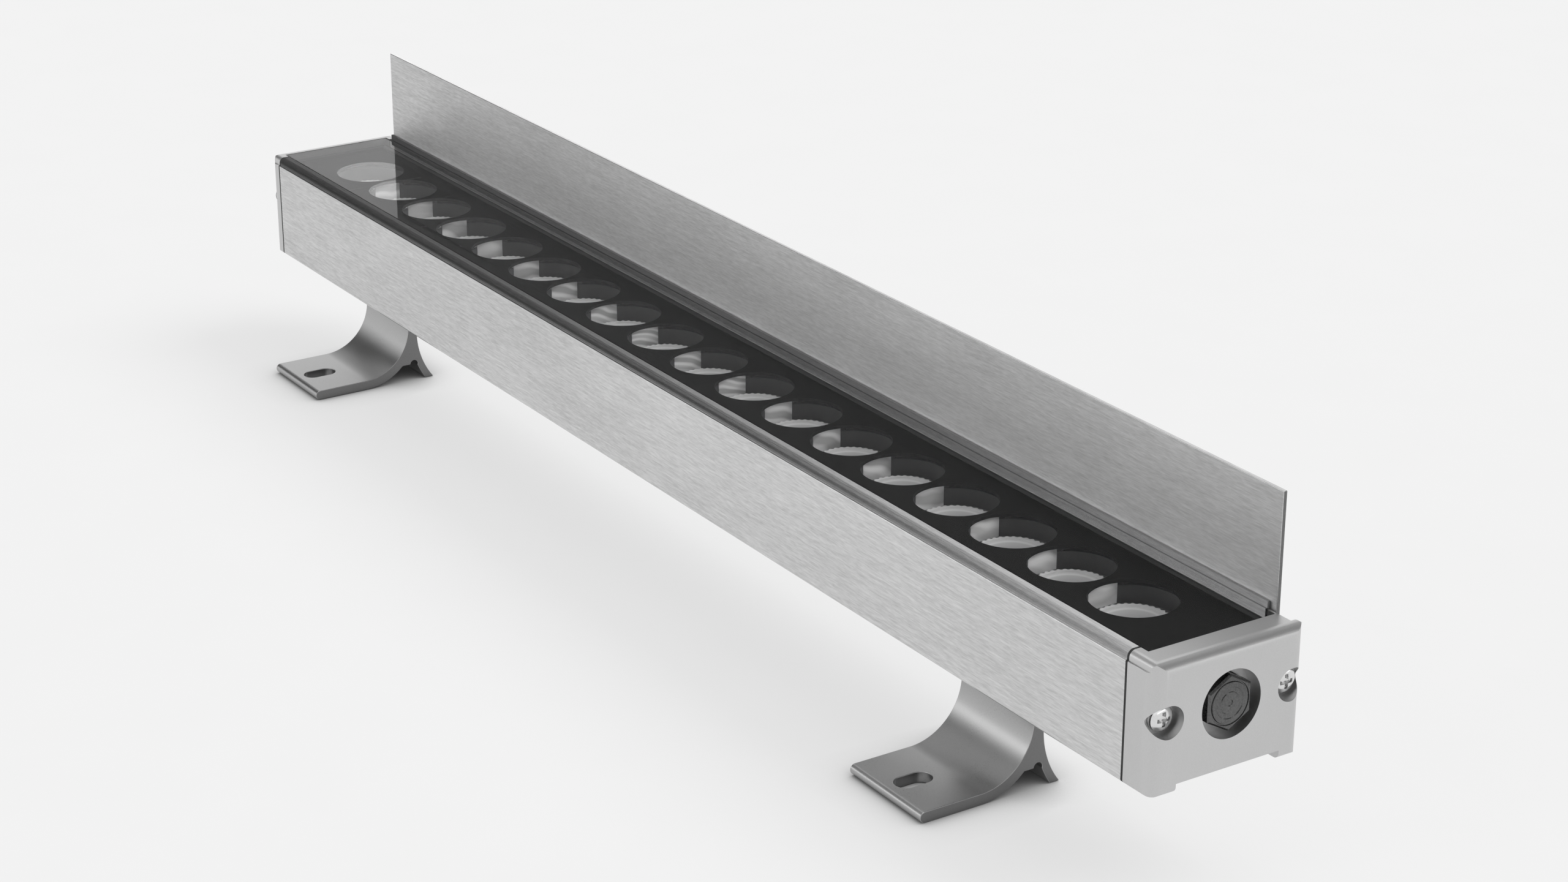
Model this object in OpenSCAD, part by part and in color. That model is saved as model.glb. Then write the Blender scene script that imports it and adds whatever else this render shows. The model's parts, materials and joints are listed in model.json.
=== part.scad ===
// Linear wall washer light on two sliding, tilting feet.
// X runs along the light towards the vented end, Y towards the glare shield, Z up from the floor.

/* [Lens row] */
// Number of lenses in the row
lens_count = 18; // [8:1:30]
// Diameter of a lens disc
lens_d = 21.8; // [19:0.1:26]
// Gap between neighbouring lens discs
lens_gap = 3.6; // [3:0.1:6]
// Thickness of the lens disc
lens_disc_t = 1.8; // [1:0.1:2.4]
// Height of a whole lens above the light-source board
lens_h = 9.3; // [8.6:0.1:9.6]
// Margin of the round window past its lens disc
window_margin = 0.9; // [0.2:0.1:1.2]
// Margin of the dark well past its lens disc
well_margin = 2.4; // [2.3:0.1:3.6]
// Depth of the dark well from the tray's rim
well_depth = 5; // [4:0.1:5.6]
// Free length between the left end of the profile and the first lens centre
left_land = 24.4; // [21:0.1:60]
// Free length between the last lens centre and the right end of the profile
right_land = 26.9; // [21:0.1:60]

/* [Housing profile] */
// Rim of the lens tray beside the wells
tray_rim = 1.7; // [1.2:0.1:4]
// Metal outside the screw ports, from their middle to the housing's side
port_inset = 4.6; // [4.2:0.1:6]
// Free height for the driver between the slot's roof and the shelf
bay_h = 7.4; // [4:0.1:14]
// Height of the housing's underside above the floor
stand_h = 36.6; // [34:0.1:60]
// Thickness of the side walls
wall_t = 2.2; // [1.6:0.1:2.6]
// Thickness of the shelf that carries the light-source board
shelf_t = 2; // [1.4:0.1:2.4]
// Width of the lips beside the glass
lip_w = 4; // [3.8:0.1:4.4]
// Height of the bright lip band above the brushed face
lip_band_h = 2.6; // [1.5:0.1:3.4]
// Setback of the lip band from the brushed face
lip_setback = 0.45; // [0.2:0.05:0.7]
// Rounding of the lips' outer edges
lip_r = 1.9; // [0.5:0.1:2]
// Rounding of the lower long edges
base_r = 0.9; // [0.3:0.1:2]

/* [Glass and window plate] */
// Thickness of the cover glass
glass_t = 2.4; // [1.6:0.1:2.8]
// Thickness of the seal under the glass
seal_t = 1.2; // [0.8:0.1:1.4]
// Width of the seal under the glass
seal_w = 2.1; // [1.4:0.1:2.2]
// Thickness of the black window plate
plate_t = 1; // [0.6:0.1:1.1]
// Gap between the window plate and the rim of the lens tray
tray_gap = 1.4; // [0.8:0.1:2]

/* [Glare shield] */
// Height of the glare shield above the lips
shield_h = 32; // [10:0.5:80]
// Sheet thickness of the glare shield
shield_t = 1.2; // [0.8:0.1:1.3]
// Depth of the groove that holds the glare shield
shield_seat = 3.6; // [3.2:0.1:3.8]
// Height of the bead in front of the glare shield
bead_h = 1.8; // [0.8:0.1:4]
// Number of set screws that hold the glare shield
shield_screw_count = 5; // [2:1:8]

/* [End caps] */
// Length of the right end cap
right_cap_l = 11.2; // [10.6:0.1:16]
// Length of the left end cap
left_cap_l = 5; // [4.6:0.1:9]
// Rounding of the right cap's upright corners
right_cap_r = 5; // [2:0.1:6]
// Rounding of the left cap's upright corners
left_cap_r = 2.4; // [1:0.1:3]
// Rounding of the right cap's top edge
right_cap_top_r = 3.2; // [1:0.1:4]
// Rounding of the left cap's top edge
left_cap_top_r = 1.2; // [0.6:0.1:1.8]
// Rounding of the caps' lower edges
cap_low_r = 1.8; // [0.6:0.1:2.4]
// Thickness of the seals between caps and profile
cap_seal_t = 0.8; // [0.4:0.1:1.4]
// Height of the recess between the cap's two lower corners
cap_relief_h = 2.6; // [1:0.1:4]
// Width of each lower corner of the cap
cap_foot_w = 7.6; // [5:0.1:12]
// Diameter of the counterbore round the vent plug
vent_well_d = 18.6; // [17:0.1:20]
// Depth of the counterbore round the vent plug
vent_well_depth = 5; // [3.5:0.1:5.4]
// Diameter of the screw counterbores in the right cap
screw_well_d = 9; // [8.2:0.1:9.4]
// Depth of the screw counterbores in the right cap
screw_well_depth = 4.4; // [3:0.1:6]

/* [Feet] */
// Distance from the left end of the profile to the middle of the left foot
left_foot_inset = 36; // [34:0.1:80]
// Distance from the right end of the profile to the middle of the right foot
right_foot_inset = 80.1; // [36:0.1:90]
// Width of a foot along the light
foot_w = 33; // [24:0.5:36]
// Thickness of the flat part of a foot
foot_t = 3.2; // [2.6:0.1:4]
// Thickness of the upright web of a foot
web_t = 3.4; // [2.6:0.1:4.4]
// Reach of a foot in front of its hinge
foot_reach = 38.4; // [36:0.1:60]
// Radius of the sweep between foot and web
sweep_r = 17; // [12:0.1:18]
// Thickness of the short rear leg
rear_leg_t = 2.6; // [2:0.1:3.2]
// Radius of the rear leg's hollow outer face
rear_sweep_r = 28; // [26:0.5:40]
// Length of the fixing slot in a foot
slot_l = 11.5; // [7:0.1:13]
// Width of the fixing slot in a foot
slot_w = 6.5; // [4.5:0.1:9]
// Distance from a foot's nose to the middle of its slot
slot_setback = 9.3; // [8:0.1:10]

/* [Hinges] */
// Diameter of the hinge bolts
hinge_bolt_d = 5; // [4:0.1:6]
// Diameter of the knuckle at the top of a foot
knuckle_d = 10; // [9:0.1:10.6]
// Thickness of the carriage ears
ear_t = 3; // [2:0.1:5]
// Thickness of the friction washers
washer_t = 0.8; // [0.5:0.1:2]
// Thickness of the carriage plate under the housing
carriage_t = 3; // [2.4:0.1:3.4]
// Width of the carriage plate across the light
carriage_w = 16; // [14:0.1:24]
// Width of the slot mouth under the housing
mouth_w = 12.4; // [10:0.1:14]
// Width of the slot chamber under the housing
chamber_w = 20.4; // [18:0.1:21]

/* [Hidden] */

// Overrun of every cut past the face it opens
over = 1;
// Slack of a piece that is set in a pocket
slack = 0.2;
// Slack between a sliding carriage and its slot
slide_gap = 0.3;
// Radial slack of a turning fit and of a screw in its hole
fit_gap = 0.05;
// Facets of a round piece
round_fn = 48;

// Levels, from the floor up
z_low = stand_h;
mouth_t = 2;
chamber_h = 3.4;
chamber_roof_t = 1.4;
bay_floor_t = 2.2;
z_chamber = z_low + mouth_t;
z_chamber_top = z_chamber + chamber_h;
z_drive = z_chamber_top + chamber_roof_t;
z_shelf = z_drive + bay_h + shelf_t;
board_t = 1.6;
z_board = z_shelf + board_t;
z_lens = z_board + lens_h;
lens_sink = 6.2;
z_plate = z_lens + lens_sink;
z_glass = z_plate + glass_t;
glass_sink = 0.1;
z_lip = z_glass + glass_sink;
body_h = z_lip - z_low;
z_ledge = z_plate - seal_t;
ledge_t = 1.6;
z_tray_rim = z_plate - plate_t - tray_gap;
z_well = z_tray_rim - well_depth;
tray_floor_t = 1.5;

// Lens row: pitch, round windows and dark wells
lens_pitch = lens_d + lens_gap;
window_d = lens_d + 2 * window_margin;
well_d = lens_d + 2 * well_margin;
tray_half = well_d / 2 + tray_rim;

// Places along the light, from the middle of the lens row
row_half = (lens_count - 1) * lens_pitch / 2;
x_left = -row_half - left_land;
x_right = row_half + right_land;
x_cap_left = x_left - cap_seal_t;
x_cap_right = x_right + cap_seal_t;
left_seat = 2.4;
right_seat = 2.8;
x_glass_left = x_cap_left - left_seat + slack;
x_glass_right = x_cap_right + right_seat - slack;
tray_half_l = row_half + tray_half;
board_half_l = tray_half_l + over;

// Places across the light: tray, screw ports, then the housing's side
tray_wall = 2.2;
board_lap = 0.5;
board_half = tray_half + board_lap;
port_r = 2.9;
port_gap = 1.5;
port_y = tray_half + port_gap + port_r;
body_w = 2 * (port_y + port_inset);
inner_half = body_w / 2 - wall_t;
seat_half = body_w / 2 - lip_w;
glass_half = seat_half - 2 * slack;
ledge_half = glass_half - seal_w - slack;
plate_half = ledge_half - slack;
groove_w = shield_t + slack;
groove_wall = 1.2;
groove_out = body_w / 2 - groove_wall;
groove_in = groove_out - groove_w;
bead_w = 0.8;
bead_in = groove_in - bead_w;
shield_y = groove_in + slack / 2;

// Screw ports for the end caps
port_rise = 2.1;
z_port = z_board + port_rise;
cap_screw_r = 1.75;
cap_screw_reach = 12;
cap_head_r = 3.5;
cap_head_h = 2.4;
cap_clear_r = 2.1;
cross_w = 0.9;
cross_l = 3.8;
cross_depth = 1.3;

// Vent plug
vent_thread_r = 5.9;
vent_hex_r = 8.1;
vent_face_r = 6.4;
vent_face_h = 0.5;
vent_sink = 0.5;
vent_bore_r = 2;
ring_t = 0.9;
ring_w = 1;
vent_head_h = vent_well_depth - ring_t - vent_face_h - vent_sink;

// Cable gland
gland_thread_r = 5.9;
gland_bore_r = 4.2;
gland_hex_r = 9.2;
gland_hex_h = 3.4;
gland_spigot_r = 6;
gland_spigot_h = 5;
insert_r = 5;
insert_bore_r = 3.3;
insert_h = 6.4;
nut_r = 8;
nut_skirt_h = 5.2;
nut_dome_h = 3.2;
nut_mouth_r = 3.9;
nut_crown_r = 5;
nut_grip_r = 8.9;
nut_grip_h = 4.4;

// Light sources and board hardware
led_side = 3.45;
led_base_h = 0.8;
led_dome_r = 1.4;
lens_foot_r = 5.4;
lens_throat_r = 4.8;
lens_shoulder_r = 9.6;
lens_foot_h = 1.2;
lens_pocket_r = 2.9;
lens_pocket_h = 2.7;
blade_t = 0.8;
blade_lap = 0.83;
blade_half = sqrt(max(0, pow(well_d / 2, 2) - pow(lens_pitch / 2, 2))) + blade_lap;
pad_t = 1.2;
pad_gap = 1.6;
pad_half = blade_half + pad_gap;
board_screw_count = 6;
board_screw_r = 1.25;
board_head_r = 2.4;
board_head_h = 1.5;
board_head_gap = 0.4;
board_screw_y = tray_half - tray_wall - board_head_r - board_head_gap;
lead_r = 0.7;
lead_hole_r = 2.6;
lead_spread = 1.2;

// Driver
driver_l = 130;
driver_half = 11;
driver_t = 1;
driver_pad_t = 0.5;
driver_end_gap = 14;
z_driver = z_drive + driver_pad_t + driver_t;
x_driver = x_left + driver_end_gap;
driver_headroom = 0.9;
part_h = bay_h - driver_pad_t - driver_t - driver_headroom;
coil_side = 7.2;
coil_h_share = 0.94;
coil_h = part_h * coil_h_share;
coil_shares = [0.3, 0.5, 0.7];
chip_l = 5;
chip_w = 4;
chip_h_share = 0.4;
chip_h = part_h * chip_h_share;
chip_shares = [0.22, 0.4, 0.6, 0.8];
capacitor_r = part_h / 2;
capacitor_l = 9;
capacitor_shares = [0.34, 0.54, 0.74, 0.86];
part_row_share = 0.6;
terminal_l = 8;
terminal_half = 5;
terminal_h = part_h;
lead_share = 0.94;
x_lead = x_driver + driver_l * lead_share;

// Glare shield screws
shield_screw_r = 1.2;
shield_screw_inset = 30;
shield_screw_sink = 0.4;
shield_screw_drop = 1.9;
shield_end_gap = 1.2;
key_r = 0.7;

// Feet and carriages
hinge_gap = 0.5;
z_hinge = z_low - carriage_t - hinge_gap - knuckle_d / 2;
sweep_y = -web_t / 2 - sweep_r;
sweep_z = foot_t + sweep_r;
rear_y = web_t / 2 + rear_sweep_r;
rear_z = 17;
arch_h = 7.3;
arch_r = 1.4;
arch_y = 0.1;
hinge_bolt_r = hinge_bolt_d / 2;
hinge_hole_r = hinge_bolt_r + fit_gap;
washer_gap = 0.1;
ear_in = foot_w / 2 + washer_t + 2 * washer_gap;
ear_out = ear_in + ear_t;
ear_margin = 0.5;
ear_r = knuckle_d / 2 + ear_margin;
bolt_head_share = 1.76;
bolt_head_r = hinge_bolt_r * bolt_head_share;
bolt_head_h = 2.8;
bolt_end = 1;
nut_share = 1.84;
nut_hex_r = hinge_bolt_r * nut_share;
nut_h = 4;
lock_r = 2;
lock_key_r = 1.15;
lock_key_depth = 1.6;
lock_gap = 0.5;
lock_x = ear_out + nut_h + bolt_end + lock_gap + lock_r;
lock_margin = 2;
carriage_half = lock_x + lock_r + lock_margin;
tee_margin = 1;
tee_half = ear_out + tee_margin;
left_foot_x = x_left + left_foot_inset;
right_foot_x = x_right - right_foot_inset;

// The origin is the middle of the whole light's box on the floor
x_tip = x_cap_left - left_cap_l - gland_hex_h - gland_spigot_h - nut_dome_h;
x_shift = -(x_tip + x_cap_right + right_cap_l) / 2;
y_shift = -(body_w / 2 - foot_reach) / 2;

function lens_x(i) = -row_half + i * lens_pitch;
function share_x(s) = x_driver + driver_l * s;

// Moves the lens-row frame to the frame of the whole light
module in_light() {
    translate([x_shift, y_shift, 0]) children();
}

// Extrudes an outline of Y and Z from x0 to x1
module along_x(x0, x1) {
    translate([x0, 0, 0]) rotate([90, 0, 90]) linear_extrude(x1 - x0) children();
}

// Extrudes an outline of X and Z across the light
module across_y(half) {
    rotate([90, 0, 0]) linear_extrude(2 * half, center = true) children();
}

// A round bar along X from x0 to x1
module bar_x(x0, x1, r, y = 0, z = 0) {
    translate([x0, y, z]) rotate([0, 90, 0]) cylinder(h = x1 - x0, r = r, $fn = round_fn);
}

// A round bar along Z from z0 to z1
module bar_z(z0, z1, r, x = 0, y = 0) {
    translate([x, y, z0]) cylinder(h = z1 - z0, r = r, $fn = round_fn);
}

// A box from its two corners
module block(low, high) {
    translate(low) cube(high - low);
}

// A rectangle that stands on zero, with round lower and upper corners
module soft_rect(w, h, r_low, r_high) {
    translate([-w / 2 + r_low, 0]) square([w - 2 * r_low, h / 2]);
    translate([-w / 2 + r_high, h / 2]) square([w - 2 * r_high, h / 2]);
    translate([-w / 2, r_low]) square([w, h - r_low - r_high]);
    for (side = [-1, 1]) {
        translate([side * (w / 2 - r_low), r_low]) circle(r_low, $fn = round_fn);
        translate([side * (w / 2 - r_high), h - r_high]) circle(r_high, $fn = round_fn);
    }
}

// A rectangle between two corners
module rect(low, high) {
    translate(low) square(high - low);
}

// Outer outline shared by the profile, its seals and its caps
module outer_outline() {
    translate([0, z_low]) {
        soft_rect(body_w, body_h - lip_band_h, base_r, lip_setback);
        soft_rect(body_w - 2 * lip_setback, body_h, base_r, lip_r);
    }
}

// Room inside the profile for the lens row, the seal and the glass
module inner_room() {
    rect([-inner_half, z_shelf], [inner_half, z_ledge - ledge_t]);
    rect([-ledge_half, z_shelf], [ledge_half, z_ledge + over / 2]);
    rect([-seat_half, z_ledge], [seat_half, z_lip + bead_h + over]);
}

// Bays under the shelf, left open round the slot chamber
module lower_room() {
    difference() {
        rect([-inner_half, z_low + bay_floor_t], [inner_half, z_shelf - shelf_t]);
        rect([-chamber_w / 2 - chamber_roof_t, z_low], [chamber_w / 2 + chamber_roof_t, z_drive]);
    }
}

// Slot under the housing that the carriages run in
module slot_room() {
    rect([-mouth_w / 2, z_low - over], [mouth_w / 2, z_chamber_top]);
    rect([-chamber_w / 2, z_chamber], [chamber_w / 2, z_chamber_top]);
}

module housing_outline() {
    difference() {
        union() {
            difference() {
                union() {
                    outer_outline();
                    rect([bead_in, z_plate], [groove_in, z_lip + bead_h]);
                }
                inner_room();
            }
            for (side = [-1, 1])
                intersection() {
                    translate([side * port_y, z_port]) circle(port_r, $fn = round_fn);
                    outer_outline();
                }
        }
        lower_room();
        slot_room();
        rect([groove_in, z_lip - shield_seat], [groove_out, z_lip + bead_h + over]);
        for (side = [-1, 1])
            translate([side * port_y, z_port]) circle(cap_screw_r + fit_gap, $fn = round_fn);
    }
}

function shield_screw_x(i) = x_left + shield_screw_inset
    + i * (x_right - x_left - 2 * shield_screw_inset) / (shield_screw_count - 1);
function board_screw_x(i) = lens_x(round((i + 1 / 2) * (lens_count - 1) / board_screw_count))
    + lens_pitch / 2;

module housing_profile() {
    color([0.74, 0.74, 0.75]) in_light() difference() {
        along_x(x_left, x_right) housing_outline();
        for (i = [0 : board_screw_count - 1])
            bar_z(z_shelf - shelf_t - over, z_shelf + over, board_screw_r + fit_gap,
                board_screw_x(i), board_screw_side(i));
        bar_z(z_shelf - shelf_t - over, z_shelf + over, lead_hole_r, x_lead);
        for (i = [0 : shield_screw_count - 1])
            translate([shield_screw_x(i), groove_out - over / 2, z_lip - shield_screw_drop])
                rotate([-90, 0, 0])
                    cylinder(h = groove_wall + over, r = shield_screw_r + fit_gap, $fn = round_fn);
    }
}

function board_screw_side(i) = (i % 2 == 0 ? 1 : -1) * board_screw_y;

module cover_glass() {
    color([0.85, 0.92, 0.92, 0.3]) in_light()
        block([x_glass_left, -glass_half, z_plate], [x_glass_right, glass_half, z_glass]);
}

module glass_seal() {
    color([0.08, 0.08, 0.08]) in_light() difference() {
        block([x_glass_left, -glass_half, z_ledge], [x_glass_right, glass_half, z_plate]);
        block([x_glass_left + seal_w, -glass_half + seal_w, z_ledge - over],
            [x_glass_right - seal_w, glass_half - seal_w, z_plate + over]);
    }
}

module window_plate() {
    color([0.07, 0.07, 0.07]) in_light() difference() {
        block([x_glass_left + seal_w + slack, -plate_half, z_plate - plate_t],
            [x_glass_right - seal_w - slack, plate_half, z_plate]);
        for (i = [0 : lens_count - 1])
            bar_z(z_plate - plate_t - over, z_plate + over, window_d / 2, lens_x(i));
    }
}

// Wall pads between the wells, which carry the window plate
module tray_pads(i) {
    for (side = [-1, 1])
        block([lens_x(i) + lens_pitch / 2 - pad_t / 2, min(side * pad_half, side * tray_half), z_well],
            [lens_x(i) + lens_pitch / 2 + pad_t / 2, max(side * pad_half, side * tray_half),
            z_plate - plate_t]);
}

module lens_tray() {
    color([0.2, 0.2, 0.21]) in_light() difference() {
        union() {
            block([-tray_half_l, -tray_half, z_board], [tray_half_l, tray_half, z_tray_rim]);
            for (i = [0 : lens_count - 2]) tray_pads(i);
        }
        block([-tray_half_l + tray_wall, -tray_half + tray_wall, z_board - over],
            [tray_half_l - tray_wall, tray_half - tray_wall, z_well - tray_floor_t]);
        for (i = [0 : lens_count - 1]) {
            bar_z(z_well, z_tray_rim + over, well_d / 2, lens_x(i));
            bar_z(z_board - over, z_well + over, lens_d / 2 + slack, lens_x(i));
        }
        for (i = [0 : lens_count - 2])
            block([lens_x(i) + lens_pitch / 2 - blade_t / 2 - fit_gap, -blade_half, z_well],
                [lens_x(i) + lens_pitch / 2 + blade_t / 2 + fit_gap, blade_half, z_tray_rim + over]);
    }
}

module divider_blades() {
    color([0.85, 0.85, 0.86]) in_light()
        for (i = [0 : lens_count - 2])
            block([lens_x(i) + lens_pitch / 2 - blade_t / 2, -blade_half + fit_gap, z_well],
                [lens_x(i) + lens_pitch / 2 + blade_t / 2, blade_half - fit_gap, z_plate - plate_t]);
}

// Outline of one lens from its axis, standing on the board
module lens_outline() {
    difference() {
        polygon([[0, 0], [lens_foot_r, 0], [lens_foot_r, lens_foot_h], [lens_throat_r, lens_foot_h],
            [lens_shoulder_r, lens_h - lens_disc_t], [lens_d / 2, lens_h - lens_disc_t],
            [lens_d / 2, lens_h], [0, lens_h]]);
        rect([-over, -over], [lens_pocket_r, lens_pocket_h]);
    }
}

module lenses() {
    color([0.9, 0.93, 0.95, 0.6]) in_light()
        for (i = [0 : lens_count - 1])
            translate([lens_x(i), 0, z_board]) rotate_extrude($fn = round_fn) lens_outline();
}

module led_packages() {
    color([0.95, 0.9, 0.7]) in_light()
        for (i = [0 : lens_count - 1]) translate([lens_x(i), 0, z_board]) {
            translate([-led_side / 2, -led_side / 2, 0]) cube([led_side, led_side, led_base_h]);
            translate([0, 0, led_base_h]) rotate_extrude($fn = round_fn) intersection() {
                circle(led_dome_r, $fn = round_fn);
                square(led_dome_r);
            }
        }
}

module led_board() {
    color([0.92, 0.92, 0.9]) in_light() difference() {
        block([-board_half_l, -board_half, z_shelf], [board_half_l, board_half, z_board]);
        for (i = [0 : board_screw_count - 1])
            bar_z(z_shelf - over, z_board + over, board_screw_r + slack,
                board_screw_x(i), board_screw_side(i));
    }
}

module board_screws() {
    color([0.75, 0.75, 0.76]) in_light()
        for (i = [0 : board_screw_count - 1]) {
            bar_z(z_shelf - shelf_t, z_board, board_screw_r, board_screw_x(i), board_screw_side(i));
            bar_z(z_board, z_board + board_head_h, board_head_r, board_screw_x(i), board_screw_side(i));
        }
}

module board_leads() {
    color([0.7, 0.1, 0.1]) in_light()
        for (side = [-1, 1]) bar_z(z_driver, z_shelf, lead_r, x_lead, side * lead_spread);
}

module driver_board() {
    color([0.1, 0.35, 0.2]) in_light()
        block([x_driver, -driver_half, z_driver - driver_t],
            [x_driver + driver_l, driver_half, z_driver]);
}

module driver_pad() {
    color([0.6, 0.6, 0.65]) in_light()
        block([x_driver + driver_half, -driver_half + over, z_drive],
            [x_driver + driver_l - driver_half, driver_half - over, z_driver - driver_t]);
}

module driver_chips() {
    color([0.06, 0.06, 0.06]) in_light()
        for (s = chip_shares)
            translate([share_x(s), -driver_half * part_row_share - chip_w / 2, z_driver])
                cube([chip_l, chip_w, chip_h]);
}

module driver_coils() {
    color([0.15, 0.15, 0.16]) in_light()
        for (s = coil_shares)
            translate([share_x(s), -coil_side / 2 + driver_half * (1 - part_row_share) / 2, z_driver])
                cube([coil_side, coil_side, coil_h]);
}

module driver_capacitors() {
    color([0.25, 0.25, 0.3]) in_light()
        for (s = capacitor_shares)
            bar_x(share_x(s), share_x(s) + capacitor_l, capacitor_r,
                driver_half - capacitor_r - slack, z_driver + capacitor_r);
}

module cable_terminal() {
    color([0.2, 0.45, 0.3]) in_light() difference() {
        block([x_driver + over, -terminal_half, z_driver],
            [x_driver + over + terminal_l, terminal_half, z_driver + terminal_h]);
        for (side = [-1, 1])
            bar_x(x_driver, x_driver + over + terminal_l / 2, terminal_h / 3,
                side * terminal_half / 2, z_driver + terminal_h / 2);
    }
}

// A cap's solid with its inner face at x = 0 and its outer face at x = l
module cap_blank(l, corner_r, top_r) {
    intersection() {
        along_x(0, l) outer_outline();
        translate([0, 0, z_low - over]) linear_extrude(body_h + 2 * over) {
            translate([0, -body_w / 2]) square([l - corner_r, body_w]);
            translate([0, -body_w / 2 + corner_r]) square([l, body_w - 2 * corner_r]);
            for (side = [-1, 1])
                translate([l - corner_r, side * (body_w / 2 - corner_r)])
                    circle(corner_r, $fn = round_fn);
        }
        across_y(body_w) {
            rect([-over, z_low], [l - cap_low_r, z_lip - top_r]);
            rect([-over, z_low + cap_low_r], [l, z_lip - top_r]);
            rect([-over, z_lip - 2 * top_r], [l - top_r, z_lip]);
            translate([l - top_r, z_lip - top_r]) circle(top_r, $fn = round_fn);
            translate([l - cap_low_r, z_low + cap_low_r]) circle(cap_low_r, $fn = round_fn);
        }
    }
}

// Cuts that both caps share: glass seat, lower recess, screw holes
module cap_cuts(l, seat) {
    block([-over, -seat_half, z_ledge], [seat, seat_half, z_lip + over]);
    block([-over, -body_w / 2 + cap_foot_w, z_low - over],
        [l + over, body_w / 2 - cap_foot_w, z_low + cap_relief_h]);
    for (side = [-1, 1]) bar_x(-over, l + over, cap_clear_r, side * port_y, z_port);
}

module end_cap_right() {
    color([0.8, 0.8, 0.81]) in_light() translate([x_cap_right, 0, 0]) difference() {
        cap_blank(right_cap_l, right_cap_r, right_cap_top_r);
        cap_cuts(right_cap_l, right_seat);
        block([-over, bead_in, z_lip - shield_seat],
            [right_cap_l - right_cap_top_r, body_w / 2 + over, z_lip + over]);
        bar_x(-over, right_cap_l, vent_thread_r + fit_gap, 0, z_port);
        bar_x(right_cap_l - vent_well_depth, right_cap_l + over, vent_well_d / 2, 0, z_port);
        for (side = [-1, 1])
            bar_x(right_cap_l - screw_well_depth, right_cap_l + over, screw_well_d / 2,
                side * port_y, z_port);
    }
}

module end_cap_left() {
    color([0.8, 0.8, 0.81]) in_light() translate([x_cap_left, 0, 0]) mirror([1, 0, 0]) difference() {
        cap_blank(left_cap_l, left_cap_r, left_cap_top_r);
        cap_cuts(left_cap_l, left_seat);
        bar_x(-over, left_cap_l + over, gland_thread_r + fit_gap, 0, z_port);
    }
}

// Seal sheet between the profile and a cap
module cap_seal(x0, x1) {
    along_x(x0, x1) difference() {
        outer_outline();
        rect([-seat_half, z_ledge], [seat_half, z_lip + over]);
        rect([bead_in, z_lip - shield_seat], [body_w / 2 + over, z_lip + over]);
        rect([-board_half, z_shelf], [board_half, z_ledge - ledge_t]);
        slot_room();
        for (side = [-1, 1])
            translate([side * port_y, z_port]) circle(cap_clear_r, $fn = round_fn);
    }
}

module cap_seal_right() {
    color([0.1, 0.1, 0.1]) in_light() cap_seal(x_right, x_cap_right);
}

module cap_seal_left() {
    color([0.1, 0.1, 0.1]) in_light() cap_seal(x_cap_left, x_left);
}

// Pan-head screw along X: the underside of its head is at x = 0 and the shank runs to -reach
module cap_screw(reach) {
    difference() {
        union() {
            bar_x(-reach, 0, cap_screw_r);
            bar_x(0, cap_head_h, cap_head_r);
        }
        translate([cap_head_h - cross_depth, -cross_l / 2, -cross_w / 2])
            cube([cross_depth + over, cross_l, cross_w]);
        translate([cap_head_h - cross_depth, -cross_w / 2, -cross_l / 2])
            cube([cross_depth + over, cross_w, cross_l]);
    }
}

module cap_screws_right() {
    color([0.85, 0.85, 0.86]) in_light()
        for (side = [-1, 1])
            translate([x_cap_right + right_cap_l - screw_well_depth, side * port_y, z_port])
                cap_screw(right_cap_l - screw_well_depth + cap_seal_t + cap_screw_reach);
}

module cap_screws_left() {
    color([0.85, 0.85, 0.86]) in_light()
        for (side = [-1, 1])
            translate([x_cap_left - left_cap_l, side * port_y, z_port]) mirror([1, 0, 0])
                cap_screw(left_cap_l + cap_seal_t + cap_screw_reach);
}

module vent_plug() {
    seat = x_cap_right + right_cap_l - vent_well_depth + ring_t;
    color([0.3, 0.3, 0.31]) in_light() difference() {
        union() {
            bar_x(x_cap_right, seat, vent_thread_r, 0, z_port);
            translate([seat, 0, z_port]) rotate([0, 90, 0]) cylinder(h = vent_head_h, r = vent_hex_r, $fn = 6);
            bar_x(seat, seat + vent_head_h + vent_face_h, vent_face_r, 0, z_port);
        }
        bar_x(x_cap_right - over, seat, vent_bore_r, 0, z_port);
    }
}

// Flat ring along X
module ring_x(x0, x1, r_in, r_out, y, z) {
    difference() {
        bar_x(x0, x1, r_out, y, z);
        bar_x(x0 - over, x1 + over, r_in, y, z);
    }
}

module vent_o_ring() {
    seat = x_cap_right + right_cap_l - vent_well_depth;
    color([0.1, 0.1, 0.1]) in_light()
        ring_x(seat, seat + ring_t, vent_thread_r + fit_gap, vent_thread_r + fit_gap + ring_w, 0, z_port);
}

module gland_body() {
    face = x_cap_left - left_cap_l;
    seat = face - ring_t;
    color([0.6, 0.6, 0.61]) in_light() difference() {
        union() {
            bar_x(seat, x_cap_left, gland_thread_r, 0, z_port);
            translate([seat - gland_hex_h + ring_t, 0, z_port]) rotate([0, 90, 0])
                cylinder(h = gland_hex_h - ring_t, r = gland_hex_r, $fn = 6);
            bar_x(face - gland_hex_h - gland_spigot_h, seat, gland_spigot_r, 0, z_port);
        }
        bar_x(face - gland_hex_h - gland_spigot_h - over, x_cap_left + over, gland_bore_r, 0, z_port);
        bar_x(face - gland_hex_h - gland_spigot_h - over,
            face - gland_hex_h - gland_spigot_h + insert_h, insert_r, 0, z_port);
    }
}

module gland_o_ring() {
    face = x_cap_left - left_cap_l;
    color([0.1, 0.1, 0.1]) in_light()
        ring_x(face - ring_t, face, gland_thread_r + fit_gap, gland_thread_r + fit_gap + ring_w, 0, z_port);
}

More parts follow.
